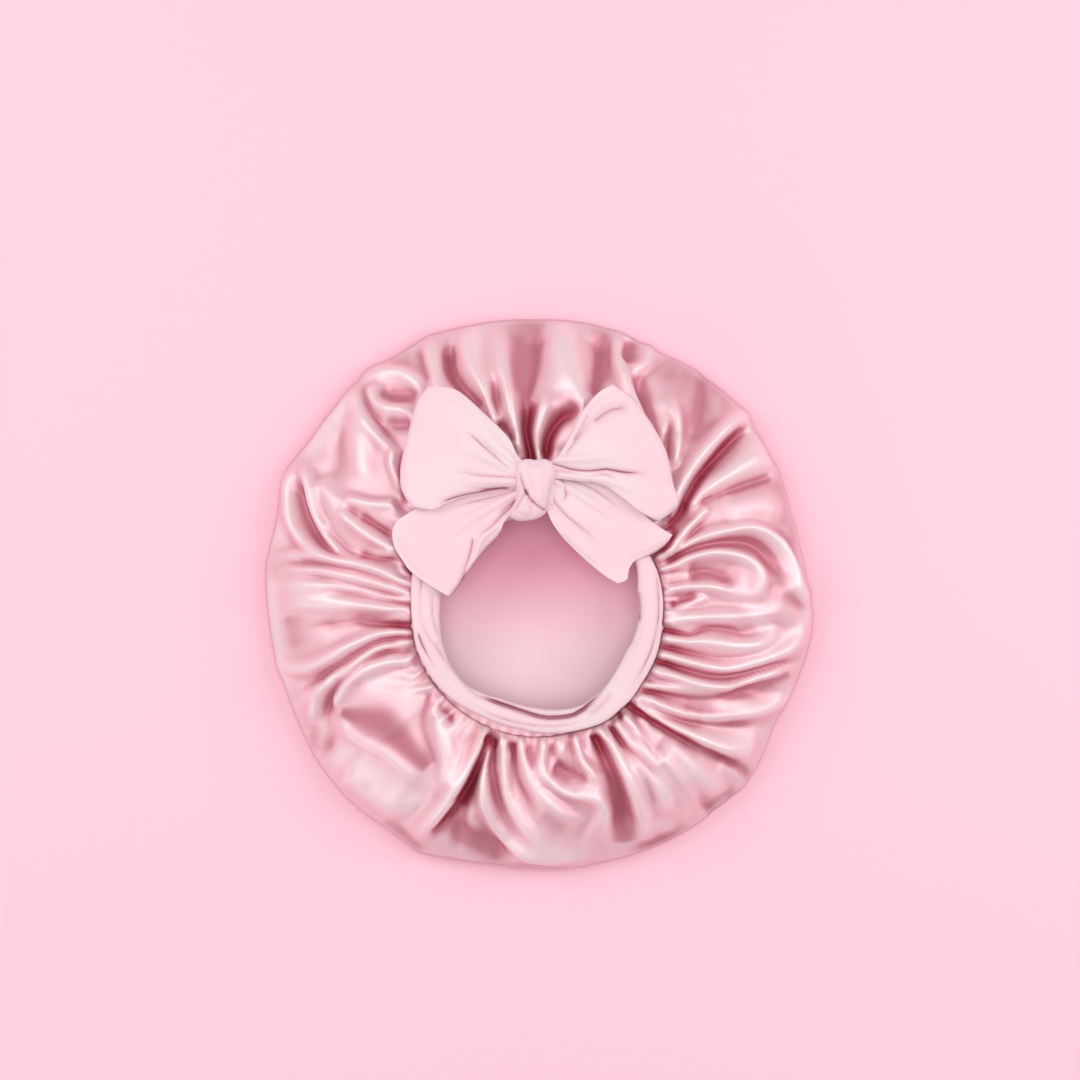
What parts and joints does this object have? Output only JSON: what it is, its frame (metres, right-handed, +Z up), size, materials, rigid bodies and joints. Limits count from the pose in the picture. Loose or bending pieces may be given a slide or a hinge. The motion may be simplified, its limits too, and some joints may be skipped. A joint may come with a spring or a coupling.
{
  "type": "hair bonnet",
  "caption": "Round satin hair bonnet with a gathered elastic mouth and a jersey tie band knotted in a bow, lying flat with its mouth up.",
  "frame": {"origin": "on the floor under the middle of the crown, as it lies flat on the middle of its back", "axes": "+Z up through the mouth, +Y towards the knot of the bow, +X to the right with the bow at the top"},
  "size_m": [0.3692, 0.3699, 0.0681],
  "materials": {
    "satin": "glossy rose satin",
    "lining": "glossy pale rose satin",
    "jersey": "matte fine-knit stretch jersey",
    "elastic": "woven elastic tape",
    "thread": "spun sewing thread"
  },
  "bodies": {
    "crown": {"crown_outer": "satin", "crown_lining": "lining"},
    "mouth": {"elastic_casing": "satin", "elastic": "elastic", "elastic_join_stitch": "thread", "gather_stitch": "thread", "band_seam_stitch": "thread", "band_outer_fold": "jersey", "band_inner_fold": "jersey", "knot_wrap": "jersey", "knot_core": "jersey"},
    "loop_left": {"bow_loop_left": "jersey"},
    "loop_right": {"bow_loop_right": "jersey"},
    "tail_left": {"bow_tail_left": "jersey"},
    "tail_right": {"bow_tail_right": "jersey"}
  },
  "joints": [
    {"name": "crown_fill", "type": "slide", "parent": "crown", "child": "mouth", "axis": [0, 0, 1], "range_m": [0, 0.06], "deforming": ["crown_outer", "crown_lining"]},
    {"name": "loop_left_lift", "type": "hinge", "parent": "mouth", "child": "loop_left", "pos_m": [-0.01975, 0.06885, 0.05772], "axis": [0, 1, 0], "range_deg": [0, 70]},
    {"name": "loop_right_lift", "type": "hinge", "parent": "mouth", "child": "loop_right", "pos_m": [0.01435, 0.06885, 0.05772], "axis": [0, -1, 0], "range_deg": [0, 70]},
    {"name": "tail_left_lift", "type": "hinge", "parent": "mouth", "child": "tail_left", "pos_m": [-0.01975, 0.06885, 0.05772], "axis": [0, 1, 0], "range_deg": [0, 70]},
    {"name": "tail_right_lift", "type": "hinge", "parent": "mouth", "child": "tail_right", "pos_m": [0.01435, 0.06885, 0.05772], "axis": [0, -1, 0], "range_deg": [0, 70]}
  ]
}
